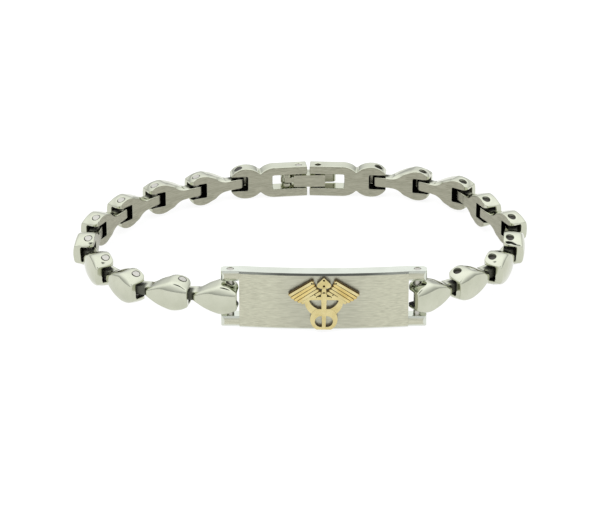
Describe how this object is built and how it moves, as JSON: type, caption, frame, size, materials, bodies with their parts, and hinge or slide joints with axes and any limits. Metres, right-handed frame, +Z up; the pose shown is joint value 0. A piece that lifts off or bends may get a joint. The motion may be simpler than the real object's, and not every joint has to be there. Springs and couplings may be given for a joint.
{
  "type": "medical alert bracelet",
  "caption": "Chain bracelet of domed teardrop links with a flat plate, a raised caduceus on it and a folding clasp.",
  "frame": {"origin": "middle of the bracelet's outline, on the surface that it stands on", "axes": "+X along the plate to the right as seen from in front of it, +Y from the plate back to the clasp, +Z up"},
  "size_m": [0.0758, 0.0491, 0.0101],
  "materials": {
    "brushed_steel": "fine brushed stainless steel, warm grey",
    "polished_steel": "mirror polished stainless steel",
    "pin_steel": "cut ends of steel pins",
    "gold": "pale gold plate, polished high spots and matt feathers"
  },
  "bodies": {
    "bracelet": {"plate": "brushed_steel", "caduceus": "gold", "link_left_1": "polished_steel", "link_left_2": "polished_steel", "link_left_3": "polished_steel", "link_left_4": "polished_steel", "link_left_5": "polished_steel", "link_left_6": "polished_steel", "link_left_7": "polished_steel", "link_left_8": "polished_steel", "link_left_9": "polished_steel", "link_right_1": "polished_steel", "link_right_2": "polished_steel", "link_right_3": "polished_steel", "link_right_4": "polished_steel", "link_right_5": "polished_steel", "link_right_6": "polished_steel", "link_right_7": "polished_steel", "link_right_8": "polished_steel", "pin_left_1": "pin_steel", "pin_left_2": "pin_steel", "pin_left_3": "pin_steel", "pin_left_4": "pin_steel", "pin_left_5": "pin_steel", "pin_left_6": "pin_steel", "pin_left_7": "pin_steel", "pin_left_8": "pin_steel", "pin_left_9": "pin_steel", "pin_left_10": "pin_steel", "pin_right_1": "pin_steel", "pin_right_2": "pin_steel", "pin_right_3": "pin_steel", "pin_right_4": "pin_steel", "pin_right_5": "pin_steel", "pin_right_6": "pin_steel", "pin_right_7": "pin_steel", "pin_right_8": "pin_steel", "pin_right_9": "pin_steel", "frame_left": "brushed_steel", "frame_right": "brushed_steel", "cross_pin_left": "pin_steel", "cross_pin_right": "pin_steel"},
    "bar": {"clasp_bar": "brushed_steel"},
    "latch": {"clasp_latch": "brushed_steel", "latch_pin": "pin_steel"}
  },
  "joints": [
    {"name": "bar_hinge", "type": "hinge", "parent": "bracelet", "child": "bar", "pos_m": [0.0028, 0.0228, 0.00266], "axis": [0, 0.0493, 0.9988], "range_deg": [0, 22.5]},
    {"name": "latch_hinge", "type": "hinge", "parent": "bar", "child": "latch", "pos_m": [-0.00265, 0.02273, 0.00286], "axis": [0, 0.0493, 0.9988], "range_deg": [0, 90]}
  ],
  "couplings": [
    {"joint": "latch_hinge", "follows": "bar_hinge", "ratio": 4}
  ]
}
